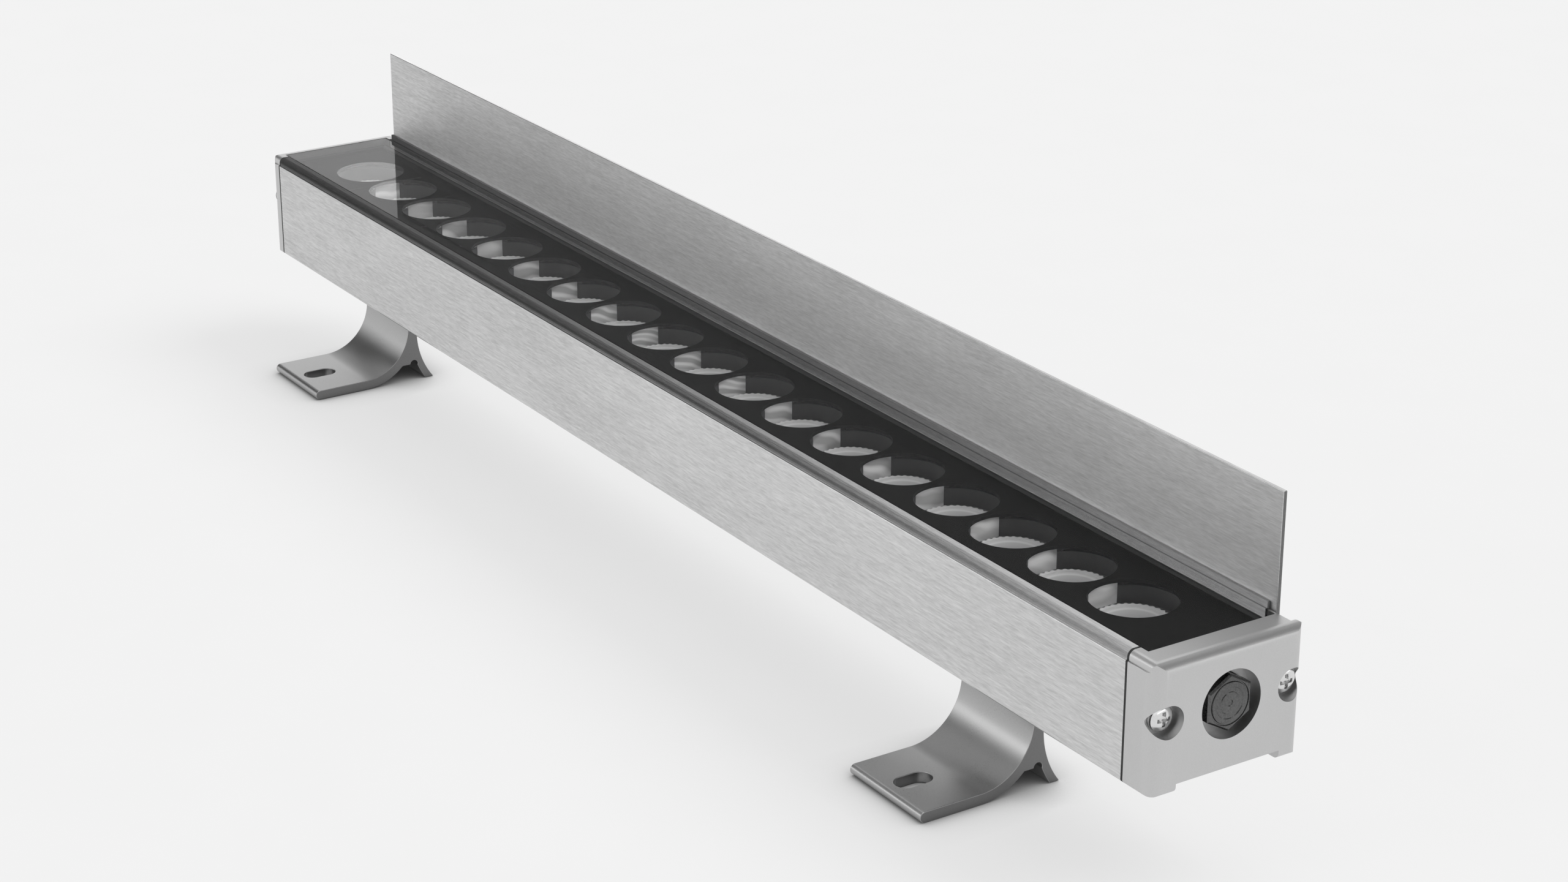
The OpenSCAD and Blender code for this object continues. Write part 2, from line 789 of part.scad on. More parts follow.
module gland_insert() {
    end = x_cap_left - left_cap_l - gland_hex_h - gland_spigot_h;
    color([0.12, 0.12, 0.12]) in_light()
        ring_x(end, end + insert_h, insert_bore_r, insert_r, 0, z_port);
}

// Outline of the gland nut's solid from its axis, mouth at the top
module gland_nut_outline() {
    polygon([[0, 0], [nut_r, 0], [nut_r, nut_skirt_h], [nut_crown_r, gland_spigot_h + nut_dome_h],
        [0, gland_spigot_h + nut_dome_h]]);
}

module gland_nut() {
    color([0.6, 0.6, 0.61]) in_light()
        translate([x_cap_left - left_cap_l - gland_hex_h, 0, z_port]) rotate([0, -90, 0])
            difference() {
                union() {
                    rotate_extrude($fn = round_fn) gland_nut_outline();
                    cylinder(h = nut_grip_h, r = nut_grip_r, $fn = 6);
                }
                bar_z(-over, gland_spigot_h, gland_spigot_r + fit_gap);
                bar_z(0, gland_spigot_h + nut_dome_h + over, nut_mouth_r);
            }
}

module glare_shield() {
    color([0.72, 0.72, 0.73]) in_light()
        block([x_left, shield_y, z_lip - shield_seat],
            [x_cap_right + right_seat - shield_end_gap, shield_y + shield_t, z_lip + shield_h]);
}

module shield_screws() {
    tip = shield_y + shield_t;
    reach = body_w / 2 - lip_setback - shield_screw_sink - tip;
    color([0.3, 0.3, 0.3]) in_light()
        for (i = [0 : shield_screw_count - 1])
            translate([shield_screw_x(i), tip, z_lip - shield_screw_drop]) rotate([-90, 0, 0])
                difference() {
                    cylinder(h = reach, r = shield_screw_r, $fn = round_fn);
                    translate([0, 0, reach / 2]) cylinder(h = reach, r = key_r, $fn = 6);
                }
}

// Carriage centred on a foot: tee in the slot, plate under the housing, two hinge ears
module carriage() {
    difference() {
        union() {
            block([-carriage_half, -carriage_w / 2, z_low - carriage_t],
                [carriage_half, carriage_w / 2, z_low]);
            block([-tee_half, -mouth_w / 2 + slide_gap, z_low - carriage_t],
                [tee_half, mouth_w / 2 - slide_gap, z_chamber + slide_gap]);
            block([-tee_half, -chamber_w / 2 + slide_gap, z_chamber + slide_gap],
                [tee_half, chamber_w / 2 - slide_gap, z_chamber_top - slide_gap]);
            for (side = [-1, 1])
                translate([side * (ear_in + ear_out) / 2, 0, 0]) along_x(-ear_t / 2, ear_t / 2) {
                    rect([-ear_r, z_hinge], [ear_r, z_low - carriage_t / 2]);
                    translate([0, z_hinge]) circle(ear_r, $fn = round_fn);
                }
        }
        bar_x(-ear_out - over, ear_out + over, hinge_hole_r, 0, z_hinge);
        for (side = [-1, 1])
            bar_z(z_low - carriage_t - over, z_low + over, lock_r + fit_gap, side * lock_x);
    }
}

module carriage_left() {
    color([0.7, 0.7, 0.71]) in_light() translate([left_foot_x, 0, 0]) carriage();
}

module carriage_right() {
    color([0.7, 0.7, 0.71]) in_light() translate([right_foot_x, 0, 0]) carriage();
}

module lock_screws() {
    for (side = [-1, 1]) difference() {
        bar_z(z_low - carriage_t, z_low, lock_r, side * lock_x);
        translate([side * lock_x, 0, z_low - carriage_t - over])
            cylinder(h = lock_key_depth + over, r = lock_key_r, $fn = 6);
    }
}

module lock_screws_left() {
    color([0.25, 0.25, 0.25]) in_light() translate([left_foot_x, 0, 0]) lock_screws();
}

module lock_screws_right() {
    color([0.25, 0.25, 0.25]) in_light() translate([right_foot_x, 0, 0]) lock_screws();
}

module friction_washers() {
    for (side = [-1, 1])
        translate([side * (foot_w / 2 + washer_gap + washer_t / 2), 0, 0])
            ring_x(-washer_t / 2, washer_t / 2, hinge_hole_r, knuckle_d / 2, 0, z_hinge);
}

module friction_washers_left() {
    color([0.2, 0.2, 0.2]) in_light() translate([left_foot_x, 0, 0]) friction_washers();
}

module friction_washers_right() {
    color([0.2, 0.2, 0.2]) in_light() translate([right_foot_x, 0, 0]) friction_washers();
}

module hinge_bolt() {
    difference() {
        union() {
            bar_x(-ear_out, ear_out + nut_h + bolt_end, hinge_bolt_r, 0, z_hinge);
            bar_x(-ear_out - bolt_head_h, -ear_out, bolt_head_r, 0, z_hinge);
        }
        translate([-ear_out - bolt_head_h - over, 0, z_hinge]) rotate([0, 90, 0])
            cylinder(h = over + bolt_head_h / 2, r = hinge_bolt_r * 2 / 3, $fn = 6);
    }
}

module hinge_bolt_left() {
    color([0.8, 0.8, 0.81]) in_light() translate([left_foot_x, 0, 0]) hinge_bolt();
}

module hinge_bolt_right() {
    color([0.8, 0.8, 0.81]) in_light() translate([right_foot_x, 0, 0]) hinge_bolt();
}

module hinge_nut() {
    translate([ear_out, 0, z_hinge]) rotate([0, 90, 0]) difference() {
        cylinder(h = nut_h, r = nut_hex_r, $fn = 6);
        translate([0, 0, -over]) cylinder(h = nut_h + 2 * over, r = hinge_hole_r, $fn = round_fn);
    }
}

module hinge_nut_left() {
    color([0.8, 0.8, 0.81]) in_light() translate([left_foot_x, 0, 0]) hinge_nut();
}

module hinge_nut_right() {
    color([0.8, 0.8, 0.81]) in_light() translate([right_foot_x, 0, 0]) hinge_nut();
}

// Hollow between the sweep of the foot and its rear leg
module arch_outline() {
    difference() {
        rect([sweep_y, -over], [rear_y, arch_h - arch_r]);
        translate([sweep_y, sweep_z]) circle(sweep_r + foot_t, $fn = 2 * round_fn);
        translate([rear_y, rear_z]) circle(rear_sweep_r + rear_leg_t, $fn = 2 * round_fn);
    }
    translate([arch_y, arch_h - arch_r]) circle(arch_r, $fn = round_fn);
}

module foot_outline() {
    difference() {
        union() {
            rect([-foot_reach + foot_t / 2, 0], [sweep_y, foot_t]);
            translate([-foot_reach + foot_t / 2, foot_t / 2]) circle(foot_t / 2, $fn = round_fn);
            difference() {
                rect([sweep_y, 0], [0, sweep_z]);
                translate([sweep_y, sweep_z]) circle(sweep_r, $fn = 2 * round_fn);
            }
            difference() {
                rect([0, 0], [rear_y, rear_z]);
                translate([rear_y, rear_z]) circle(rear_sweep_r, $fn = 2 * round_fn);
            }
            rect([-web_t / 2, arch_h], [web_t / 2, z_hinge]);
            translate([0, z_hinge]) circle(knuckle_d / 2, $fn = round_fn);
        }
        arch_outline();
        translate([0, z_hinge]) circle(hinge_hole_r, $fn = round_fn);
    }
}

module foot() {
    difference() {
        along_x(-foot_w / 2, foot_w / 2) foot_outline();
        for (side = [-1, 1])
            bar_z(-over, foot_t + over, slot_w / 2,
                0, -foot_reach + slot_setback + side * (slot_l - slot_w) / 2);
        block([-slot_w / 2, -foot_reach + slot_setback - (slot_l - slot_w) / 2, -over],
            [slot_w / 2, -foot_reach + slot_setback + (slot_l - slot_w) / 2, foot_t + over]);
    }
}

module foot_left() {
    color([0.68, 0.68, 0.69]) in_light() translate([left_foot_x, 0, 0]) foot();
}

module foot_right() {
    color([0.68, 0.68, 0.69]) in_light() translate([right_foot_x, 0, 0]) foot();
}

housing_profile();
cover_glass();
glass_seal();
window_plate();
lens_tray();
divider_blades();
lenses();
led_packages();
led_board();
board_screws();
board_leads();
driver_board();
driver_pad();
driver_chips();
driver_coils();
driver_capacitors();
cable_terminal();
end_cap_right();
end_cap_left();
cap_seal_right();
cap_seal_left();
cap_screws_right();
cap_screws_left();
vent_plug();
vent_o_ring();
gland_body();
gland_o_ring();
gland_insert();
gland_nut();
glare_shield();
shield_screws();
carriage_left();
carriage_right();
lock_screws_left();
lock_screws_right();
friction_washers_left();
friction_washers_right();
hinge_bolt_left();
hinge_bolt_right();
hinge_nut_left();
hinge_nut_right();
foot_left();
foot_right();
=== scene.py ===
import json
import math

import bmesh
import bpy
from mathutils import Matrix, Vector


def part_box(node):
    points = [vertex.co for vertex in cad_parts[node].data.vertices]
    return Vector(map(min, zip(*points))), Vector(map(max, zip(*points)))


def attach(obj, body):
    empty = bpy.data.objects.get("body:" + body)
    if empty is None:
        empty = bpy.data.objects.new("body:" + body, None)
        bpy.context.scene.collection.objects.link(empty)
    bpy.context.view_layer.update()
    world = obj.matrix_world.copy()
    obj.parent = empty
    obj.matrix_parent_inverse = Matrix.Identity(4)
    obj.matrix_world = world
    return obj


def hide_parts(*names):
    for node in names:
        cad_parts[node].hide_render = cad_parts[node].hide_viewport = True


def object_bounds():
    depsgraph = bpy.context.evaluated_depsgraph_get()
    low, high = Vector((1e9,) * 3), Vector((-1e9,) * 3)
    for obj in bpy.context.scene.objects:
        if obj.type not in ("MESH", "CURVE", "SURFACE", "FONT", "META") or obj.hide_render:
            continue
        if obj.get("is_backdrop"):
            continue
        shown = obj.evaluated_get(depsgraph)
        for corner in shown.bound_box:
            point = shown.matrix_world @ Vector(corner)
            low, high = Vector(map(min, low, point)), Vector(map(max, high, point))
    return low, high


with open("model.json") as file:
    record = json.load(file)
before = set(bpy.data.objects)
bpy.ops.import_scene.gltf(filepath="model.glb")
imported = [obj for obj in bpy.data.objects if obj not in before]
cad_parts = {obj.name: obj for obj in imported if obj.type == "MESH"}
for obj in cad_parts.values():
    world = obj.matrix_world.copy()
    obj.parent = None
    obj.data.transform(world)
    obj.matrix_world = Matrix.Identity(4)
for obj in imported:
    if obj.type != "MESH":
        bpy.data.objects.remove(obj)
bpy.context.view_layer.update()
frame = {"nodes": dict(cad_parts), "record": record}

NODES = frame["nodes"]

# from the lens row's own frame to the frame of the whole light
MM = 0.001
SHIFT_X = 0.00145
SHIFT_Y = 0.0072
SHIFT = Vector((SHIFT_X, SHIFT_Y, 0))
LENS_COUNT = 18
LENS_PITCH = 25.4 * MM

# the sockets of a Mix node: the share, then the two colours and their output, and the two floats
MIX_SHARE, MIX_A, MIX_B, MIX_OUT = 0, 6, 7, 2
MIX_FLOAT_A, MIX_FLOAT_B = 2, 3
# the usual range of a noise, and of the brushed layers' sum
NOISE = (0.3, 0.7)
BRUSH = (0.34, 0.66)

# parts of a face's normal between which it starts to count, and fully counts, as facing that way
SQUARE_TO_X = (0.86, 0.97)
SQUARE_TO_Y = (0.93, 0.995)
FACING_UP = (0.9, 0.99)
FACING_FRONT = (-0.5, -0.8)
# the tone of the painted shade on the ends square to X
END_SHADE_TONE = (0.02, 0.02, 0.02)
# the roughness of the band and of all the faces that aren't square to Y, such as the lips' tops
LIP_ROUGH = 0.24
# the profile's band above its brushed face: where it starts, its tilt, and how dark its painted shade is
BAND_Z = (0.0696, 0.0699)
BAND_TILT = 0.9
BAND_PAINTED_SHADE_TONE = (0.05, 0.05, 0.055)
BAND_PAINTED_SHADE = 0.2
# where along Y the band passes to the rear rail, and the extra share of the painted shade there
REAR_Y = (0.0, 0.02)
REAR_PAINTED_SHADE = 0.28


# ---------------------------------------------------------------- node helpers
class Mat:
    """A node material in the making: named sockets are set or linked in short calls."""

    def __init__(self, name):
        self.m = bpy.data.materials.new(name)
        self.m.use_nodes = True
        self.t = self.m.node_tree
        self.t.nodes.clear()
        self.out = self.t.nodes.new("ShaderNodeOutputMaterial")

    def new(self, kind, **props):
        n = self.t.nodes.new("ShaderNode" + kind)
        for k, v in props.items():
            setattr(n, k, v)
        return n

    def put(self, value, socket):
        if isinstance(value, bpy.types.NodeSocket):
            self.t.links.new(value, socket)
        elif isinstance(value, (tuple, list)) and len(value) == 3 and socket.type == "RGBA":
            socket.default_value = (*value, 1)
        else:
            socket.default_value = value
        return socket

    def coords(self):
        """The place on the object, in metres of the shared frame."""
        return self.new("TexCoord").outputs["Object"]

    def mapped(self, scale, offset):
        n = self.new("Mapping")
        self.put(self.coords(), n.inputs["Vector"])
        n.inputs["Scale"].default_value = scale
        n.inputs["Location"].default_value = offset
        return n.outputs["Vector"]

    def noise(self, scale, offset=(0, 0, 0), detail=2, rough=0.5):
        """Noise with a scale per metre along each axis."""
        n = self.new("TexNoise")
        self.put(self.mapped(scale, offset), n.inputs["Vector"])
        n.inputs["Scale"].default_value = 1
        n.inputs["Detail"].default_value = detail
        n.inputs["Roughness"].default_value = rough
        return n.outputs["Fac"]

    def step(self, value, lo, hi):
        """0 at lo, 1 at hi, straight between them and flat outside."""
        n = self.new("MapRange")
        self.put(value, n.inputs["Value"])
        n.inputs["From Min"].default_value = lo
        n.inputs["From Max"].default_value = hi
        return n.outputs["Result"]

    def split(self, vector):
        """The three parts of a vector."""
        n = self.new("SeparateXYZ")
        self.put(vector, n.inputs[0])
        return n.outputs

    def normal(self):
        """The three parts of the face's normal, in the object's own space."""
        return self.split(self.new("TexCoord").outputs["Normal"])

    def painted_end_shade(self, color, share):
        """Painted shade: darkens the faces that are square to X, the ends."""
        side = self.math("ABSOLUTE", self.normal()[0])
        return self.mix(self.step(side, *SQUARE_TO_X), color, self.mix(share, color, END_SHADE_TONE))

    def ramp(self, fac, *stops):
        """A colour ramp with stops of (position, grey or colour)."""
        n = self.new("ValToRGB")
        self.put(fac, n.inputs["Fac"])
        e = n.color_ramp.elements
        while len(e) < len(stops):
            e.new(0.5)
        for el, (pos, col) in zip(e, stops):
            el.position = pos
            el.color = (col, col, col, 1) if isinstance(col, (int, float)) else (*col, 1)
        return n.outputs["Color"]

    def swing(self, fac, middle, by, ends=NOISE):
        """A grey that goes from middle - by to middle + by over the range of a noise."""
        return self.ramp(fac, (ends[0], middle - by), (ends[1], middle + by))

    def math(self, op, a, b=0.0):
        n = self.new("Math", operation=op)
        self.put(a, n.inputs[0])
        self.put(b, n.inputs[1])
        return n.outputs[0]

    def mix(self, fac, a, b):
        n = self.new("Mix", data_type="RGBA")
        self.put(fac, n.inputs[MIX_SHARE])
        self.put(a, n.inputs[MIX_A])
        self.put(b, n.inputs[MIX_B])
        return n.outputs[MIX_OUT]

    def bump(self, height, strength, distance):
        n = self.new("Bump")
        self.put(height, n.inputs["Height"])
        n.inputs["Strength"].default_value = strength
        n.inputs["Distance"].default_value = distance
        return n.outputs["Normal"]

    def principled(self, color, metallic, rough, normal, **more):
        n = self.new("BsdfPrincipled")
        self.put(color, n.inputs["Base Color"])
        n.inputs["Metallic"].default_value = metallic
        self.put(rough, n.inputs["Roughness"])
        self.put(normal, n.inputs["Normal"])
        for k, v in more.items():
            n.inputs[k.replace("_", " ")].default_value = v
        return n.outputs[0]

    def done(self, shader):
        """Ends the material with this shader."""
        self.put(shader, self.out.inputs["Surface"])
        return self.m


def brushed(name, tone, spread, rough, anis, lean=0.0, cut=0.0):
    """Aluminium brushed along X: short fine streaks over broad soft clouds.

    lean tilts the lips beside the glass and paints shade on the band above the brushed face, the last argument
    paints shade on the ends square to X.
    """
    m = Mat(name)
    fine = m.noise((330, 3300, 3300), rough=0.55)
    mid = m.noise((70, 1300, 1300), (3, 1, 2))
    broad = m.noise((14, 40, 40), (7, 4, 9))
    s = m.math("ADD", m.math("MULTIPLY", fine, 0.5),
               m.math("ADD", m.math("MULTIPLY", mid, 0.3), m.math("MULTIPLY", broad, 0.2)))
    col = m.swing(s, tone, spread, BRUSH)
    ro = m.swing(s, rough, -0.04, BRUSH)
    # painted shade on the ends square to X
    if cut:
        col = m.painted_end_shade(col, cut)
    normal = m.normal()
    smooth = (LIP_ROUGH, LIP_ROUGH, LIP_ROUGH)
    ro = m.mix(m.step(m.math("ABSOLUTE", normal[1]), *SQUARE_TO_Y), smooth, ro)
    b = m.new("BsdfPrincipled")
    grain = m.bump(s, 0.3, 0.03 * MM)
    if lean:
        # the lips' normals lean: their tops to the front, the band's front upwards
        at = m.split(m.coords())
        band = m.step(at[2], *BAND_Z)
        ahead = m.step(normal[1], *FACING_FRONT)
        tip = m.new("CombineXYZ")
        m.put(m.math("MULTIPLY", m.math("MULTIPLY", band, ahead), BAND_TILT), tip.inputs[2])
        m.put(m.math("MULTIPLY", m.step(normal[2], *FACING_UP), -lean), tip.inputs[1])
        tilted = m.new("VectorMath", operation="ADD")
        m.put(grain, tilted.inputs[0])
        m.put(tip.outputs[0], tilted.inputs[1])
        unit = m.new("VectorMath", operation="NORMALIZE")
        m.put(tilted.outputs[0], unit.inputs[0])
        grain = unit.outputs[0]
        # painted shade: the band above the brushed face is plain and painted darker, most of all the rail at the
        # back
        shade = m.math("ADD", m.math("MULTIPLY", m.step(at[1], *REAR_Y), REAR_PAINTED_SHADE), BAND_PAINTED_SHADE)
        col = m.mix(m.math("MULTIPLY", band, shade), col, BAND_PAINTED_SHADE_TONE)
        ro = m.mix(band, ro, smooth)
    m.put(col, b.inputs["Base Color"])
    m.put(ro, b.inputs["Roughness"])
    m.put(grain, b.inputs["Normal"])
    b.inputs["Metallic"].default_value = 1.0
    b.inputs["Anisotropic"].default_value = anis
    across = m.new("Tangent", direction_type="RADIAL", axis="X")
    m.put(across.outputs[0], b.inputs["Tangent"])
    return m.done(b.outputs[0])


def satin(name, tone, rough, grain=2600, spread=0.03, bump=0.12, cut=0.0):
    """Cast or blasted metal with a fine even grain and faint clouds."""
    m = Mat(name)
    g = m.noise((grain, grain, grain), detail=4, rough=0.6)
    c = m.noise((40, 40, 40), (2, 5, 1))
    s = m.math("ADD", m.math("MULTIPLY", g, 0.6), m.math("MULTIPLY", c, 0.4))
    col = m.swing(s, tone, spread)
    ro = m.swing(s, rough, 0.04)
    # painted shade on the ends square to X
    if cut:
        col = m.painted_end_shade(col, cut)
    return m.done(m.principled(col, 1.0, ro, m.bump(g, bump, 0.05 * MM)))


def plain(name, color, rough, grain=1800, **more):
    """Plastic, rubber or paint: fine grain with a slight variation of the colour."""
    vary = 0.12
    m = Mat(name)
    g = m.noise((grain, grain, grain), detail=3, rough=0.6)
    c = m.noise((60, 60, 60), (4, 2, 8))
    lo = tuple(v * (1 - vary) for v in color)
    hi = tuple(v * (1 + vary) for v in color)
    col = m.mix(c, lo, hi)
    ro = m.swing(g, rough, 0.05)
    return m.done(m.principled(col, 0.0, ro, m.bump(g, 0.1, 0.04 * MM), **more))


# the pane's mirror image by angle: its least share, then the curve's power and strength
GLASS_LEAST = 0.005
GLASS_POWER = 10.0
GLASS_STRENGTH = 3.0


def thin_glass(name):
    """A flat clear pane: straight through, plus a mirror image that grows towards grazing angles."""
    m = Mat(name)
    clear = m.new("BsdfTransparent")
    clear.inputs["Color"].default_value = (1, 1, 1, 1)
    gloss = m.new("BsdfGlossy")
    gloss.inputs["Roughness"].default_value = 0.0
    facing = m.new("LayerWeight")
    facing.inputs["Blend"].default_value = 0.5
    steep = m.math("POWER", facing.outputs["Facing"], GLASS_POWER)
    mirror = m.math("MULTIPLY_ADD", steep, GLASS_STRENGTH)
    mirror.node.inputs[2].default_value = GLASS_LEAST
    c = m.noise((9, 9, 9), detail=1)
    col = m.ramp(c, (NOISE[0], 0.97), (NOISE[1], 1.0))
    m.put(col, gloss.inputs["Color"])
    mixer = m.new("MixShader")
    m.put(mirror, mixer.inputs[0])
    m.put(clear.outputs[0], mixer.inputs[1])
    m.put(gloss.outputs[0], mixer.inputs[2])
    return m.done(mixer.outputs[0])


def painted_reflection_sheet(name):
    """Bright thin strip with painted reflections: soft swooping streaks in its colour, as polished sheet
    reflects round lenses.
    """
    m = Mat(name)
    wave = m.new("TexWave", wave_type="RINGS", rings_direction="SPHERICAL", wave_profile="SIN")
    m.put(m.mapped((90, 130, 190), (0.3, 0.6, -9.0)), wave.inputs["Vector"])
    wave.inputs["Scale"].default_value = 0.5
    wave.inputs["Distortion"].default_value = 5.0
    wave.inputs["Detail"].default_value = 2.0
    wave.inputs["Detail Scale"].default_value = 0.7
    # painted reflection: the streaks' brightness is in the colour
    col = m.ramp(wave.outputs["Fac"], (0.1, 0.5), (0.3, 0.85), (0.5, 1.0), (0.75, 0.95), (0.95, 0.7))
    return m.done(m.principled(col, 0.2, 0.22, m.bump(wave.outputs["Fac"], 0.4, 0.3 * MM)))


def moulded_lens(name):
    """Clear plastic with painted light: each lens is painted greyer in its middle and left, with painted
    highlights on rings near its rim and on its right.
    """
    m = Mat(name)
    row_start = SHIFT_X - LENS_COUNT / 2 * LENS_PITCH
    per_cm = 100
    # u and v run from the middle of each lens, in centimetres
    at = m.split(m.coords())
    turn = m.math("FRACT", m.math("MULTIPLY", m.math("SUBTRACT", at[0], row_start), 1 / LENS_PITCH))
    u = m.math("MULTIPLY", m.math("SUBTRACT", turn, 0.5), LENS_PITCH * per_cm)
    v = m.math("MULTIPLY", m.math("SUBTRACT", at[1], SHIFT_Y), per_cm)
    radius = m.math("SQRT", m.math("ADD", m.math("MULTIPLY", u, u), m.math("MULTIPLY", v, v)))
    # painted light: the grey middle and the bright rings near the rim
    rim = m.ramp(radius, (0.0, 0.75), (0.5, 0.6), (0.74, 0.72), (0.8, 1.0), (0.88, 0.8), (0.97, 1.0))
    # painted highlight: each lens lighter towards its right side
    side = m.ramp(m.math("ADD", m.math("MULTIPLY", u, 0.5), 0.5), (0.1, 0.8), (0.5, 0.72), (0.75, 1.0))
    n = m.new("Mix", data_type="RGBA", blend_type="MULTIPLY")
    n.inputs[MIX_SHARE].default_value = 1.0
    m.put(rim, n.inputs[MIX_A])
    m.put(side, n.inputs[MIX_B])
    grain = m.noise((900, 900, 900))
    return m.done(m.principled(n.outputs[MIX_OUT], 0.0, 0.16, m.bump(grain, 0.06, 0.04 * MM),
                               Transmission_Weight=0.3, IOR=1.49))


# each material slot: how it is made and its looks
MATS = {name: make(name, **looks) for name, make, looks in (
    ("brushed_aluminium", brushed, dict(tone=0.65, spread=0.10, rough=0.5, anis=0.75, lean=0.32)),
    ("satin_casting", satin, dict(tone=0.56, rough=0.38, grain=3000, bump=0.25)),
    ("satin_extrusion", satin, dict(tone=0.42, rough=0.3, bump=0.15, cut=0.6)),
    ("brushed_sheet", brushed, dict(tone=0.60, spread=0.10, rough=0.5, anis=0.75, cut=0.75)),
    ("plug_metal", satin, dict(tone=0.11, rough=0.26, grain=2200, spread=0.04, bump=0.4)),
    ("polished_aluminium", painted_reflection_sheet, {}),
    ("clear_glass", thin_glass, {}),
    ("clear_lens", moulded_lens, {}),
    ("black_anodised", plain, dict(color=(0.005, 0.005, 0.005), rough=0.6, grain=4000, Specular_IOR_Level=0.08)),
    ("black_plastic", plain, dict(color=(0.05, 0.05, 0.052), rough=0.5)),
    ("dark_plastic", plain, dict(color=(0.11, 0.11, 0.115), rough=0.42)),
    ("green_plastic", plain, dict(color=(0.06, 0.25, 0.12), rough=0.45)),
    ("black_rubber", plain, dict(color=(0.016, 0.016, 0.016), rough=0.7)),
    ("stainless_steel", satin, dict(tone=0.72, rough=0.2, grain=1500, bump=0.06)),
    ("plated_steel", satin, dict(tone=0.6, rough=0.3)),
    ("black_steel", satin, dict(tone=0.07, rough=0.4)),
    ("nickel_brass", satin, dict(tone=0.66, rough=0.26, grain=1500, bump=0.06)),
    ("led_yellow", plain, dict(color=(0.8, 0.62, 0.12), rough=0.4)),
    ("white_board", plain, dict(color=(0.78, 0.78, 0.76), rough=0.45)),
    ("green_board", plain, dict(color=(0.02, 0.13, 0.06), rough=0.35)),
    ("grey_pad", plain, dict(color=(0.3, 0.3, 0.33), rough=0.8)),
    ("dark_ferrite", plain, dict(color=(0.04, 0.04, 0.045), rough=0.55)),
    ("red_wire", plain, dict(color=(0.45, 0.02, 0.015), rough=0.4)),
)}


def dress(o, mat):
    o.data.materials.clear()
    o.data.materials.append(mat)


for sub in frame["record"]["subparts"]:
    dress(NODES[sub["node"]], MATS[sub["material_slot"]])
dress(NODES["glare_shield"], MATS["brushed_sheet"])


# ---------------------------------------------------------------- detailed pieces
def add_mesh(name, verts, faces, mat):
    me = bpy.data.meshes.new(name)
    me.from_pydata(verts, [], faces)
    me.update()
    o = bpy.data.objects.new(name, me)
    bpy.context.scene.collection.objects.link(o)
    me.materials.append(mat)
    return o


def quads(rings, n):
    """The faces between rings of n points each."""
    faces = []
    for k in range(rings - 1):
        for j in range(n):
            i, i2 = k * n + j, k * n + (j + 1) % n
            faces.append((i, i2, i2 + n, i + n))
    return faces


def lathe(rings, n, place, share=lambda k, j: 1):
    """Verts and faces of a profile turned round an axis.

    rings are (radius, height) in millimetres, share gives the part of ring k's radius that it has at
    step j, and place turns the two sideways parts and the height, in metres, into a point.
    """
    verts = []
    for k, (r, h) in enumerate(rings):
        for j in range(n):
            rr = r * MM * share(k, j)
            a = 2 * math.pi * j / n
            verts.append(place(rr * math.cos(a), rr * math.sin(a), h * MM))
    foot = tuple(range(n - 1, -1, -1))
    head = tuple(range((len(rings) - 1) * n, len(rings) * n))
    return verts, quads(len(rings), n) + [foot, head]


def join_parts(parts):
    """One list of verts and faces from several."""
    verts, faces = [], []
    for v, f in parts:
        base = len(verts)
        verts += v
        faces += [tuple(i + base for i in q) for q in f]
    return verts, faces


def sharpen(o, degrees):
    """Smooth faces with sharp edges above an angle."""
    bm = bmesh.new()
    bm.from_mesh(o.data)
    bmesh.ops.recalc_face_normals(bm, faces=bm.faces)
    for f in bm.faces:
        f.smooth = True
    for e in bm.edges:
        e.smooth = len(e.link_faces) == 2 and e.calc_face_angle(0) < math.radians(degrees)
    bm.to_mesh(o.data)
    bm.free()


# lenses: a moulded cone under a flange with a serrated rim and a shallow dish
z0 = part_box("lenses")[0][2]
# radius and height of each ring, in millimetres, from the foot up and in over the dish
LENS = [(2.85, 0.0), (5.3, 0.0), (5.35, 1.15), (4.85, 1.3), (5.7, 2.6), (6.9, 4.4), (8.2, 6.1), (9.5, 7.5),
        (10.86, 7.55), (10.86, 8.9), (10.6, 9.25), (9.2, 9.27), (9.0, 8.95), (8.0, 8.8), (6.0, 8.45),
        (4.0, 8.3), (2.6, 8.35), (2.2, 8.8), (1.2, 9.0), (0.15, 9.05)]
LENS_STEPS = 144
# the rings with teeth, the steps from tooth to tooth, and the gaps' radius as a share of the rim's
RIM_RINGS = (8, 9, 10)
TOOTH_STEPS = 4
GAP_SHARE = 0.95


def rim_tooth(k, j):
    """The second half of each tooth's steps is the gap after it."""
    return GAP_SHARE if k in RIM_RINGS and j % TOOTH_STEPS >= TOOTH_STEPS // 2 else 1.0


parts = []
for i in range(LENS_COUNT):
    cx = (i - (LENS_COUNT - 1) / 2) * LENS_PITCH + SHIFT.x
    parts.append(lathe(LENS, LENS_STEPS, lambda u, v, h, cx=cx: (cx + u, SHIFT.y + v, z0 + h), rim_tooth))
lenses = add_mesh("lens_row", *join_parts(parts), MATS["clear_lens"])
sharpen(lenses, degrees=40)
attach(lenses, "light")
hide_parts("lenses")


# cap screws: domed pan heads with a cross recess, on threaded shanks; sizes in millimetres
HEAD_RADIUS = 3.48
HEAD_HEIGHT = 2.38
HEAD_STEPS = 72
HEAD_RINGS = 26
DOME_DROP = 0.95
DOME_POWER = 3.2
# the cross: reach and half width of its arms, how the half width flares to the middle, and its depth
ARM_REACH = 1.95
ARM_HALF = 0.42
FLARE = 0.10
FLARE_REACH = 2.1
DEPTH_LEAST = 0.35
DEPTH_MORE = 1.1
DEPTH_REACH = 2.0
# the thread as rings: half its pitch, the radius of crest and root, and the first ring's depth
HALF_TURN = 0.35
CREST, ROOT = 1.72, 1.38
THREAD_START = 0.15
TIP_RADIUS = 0.9
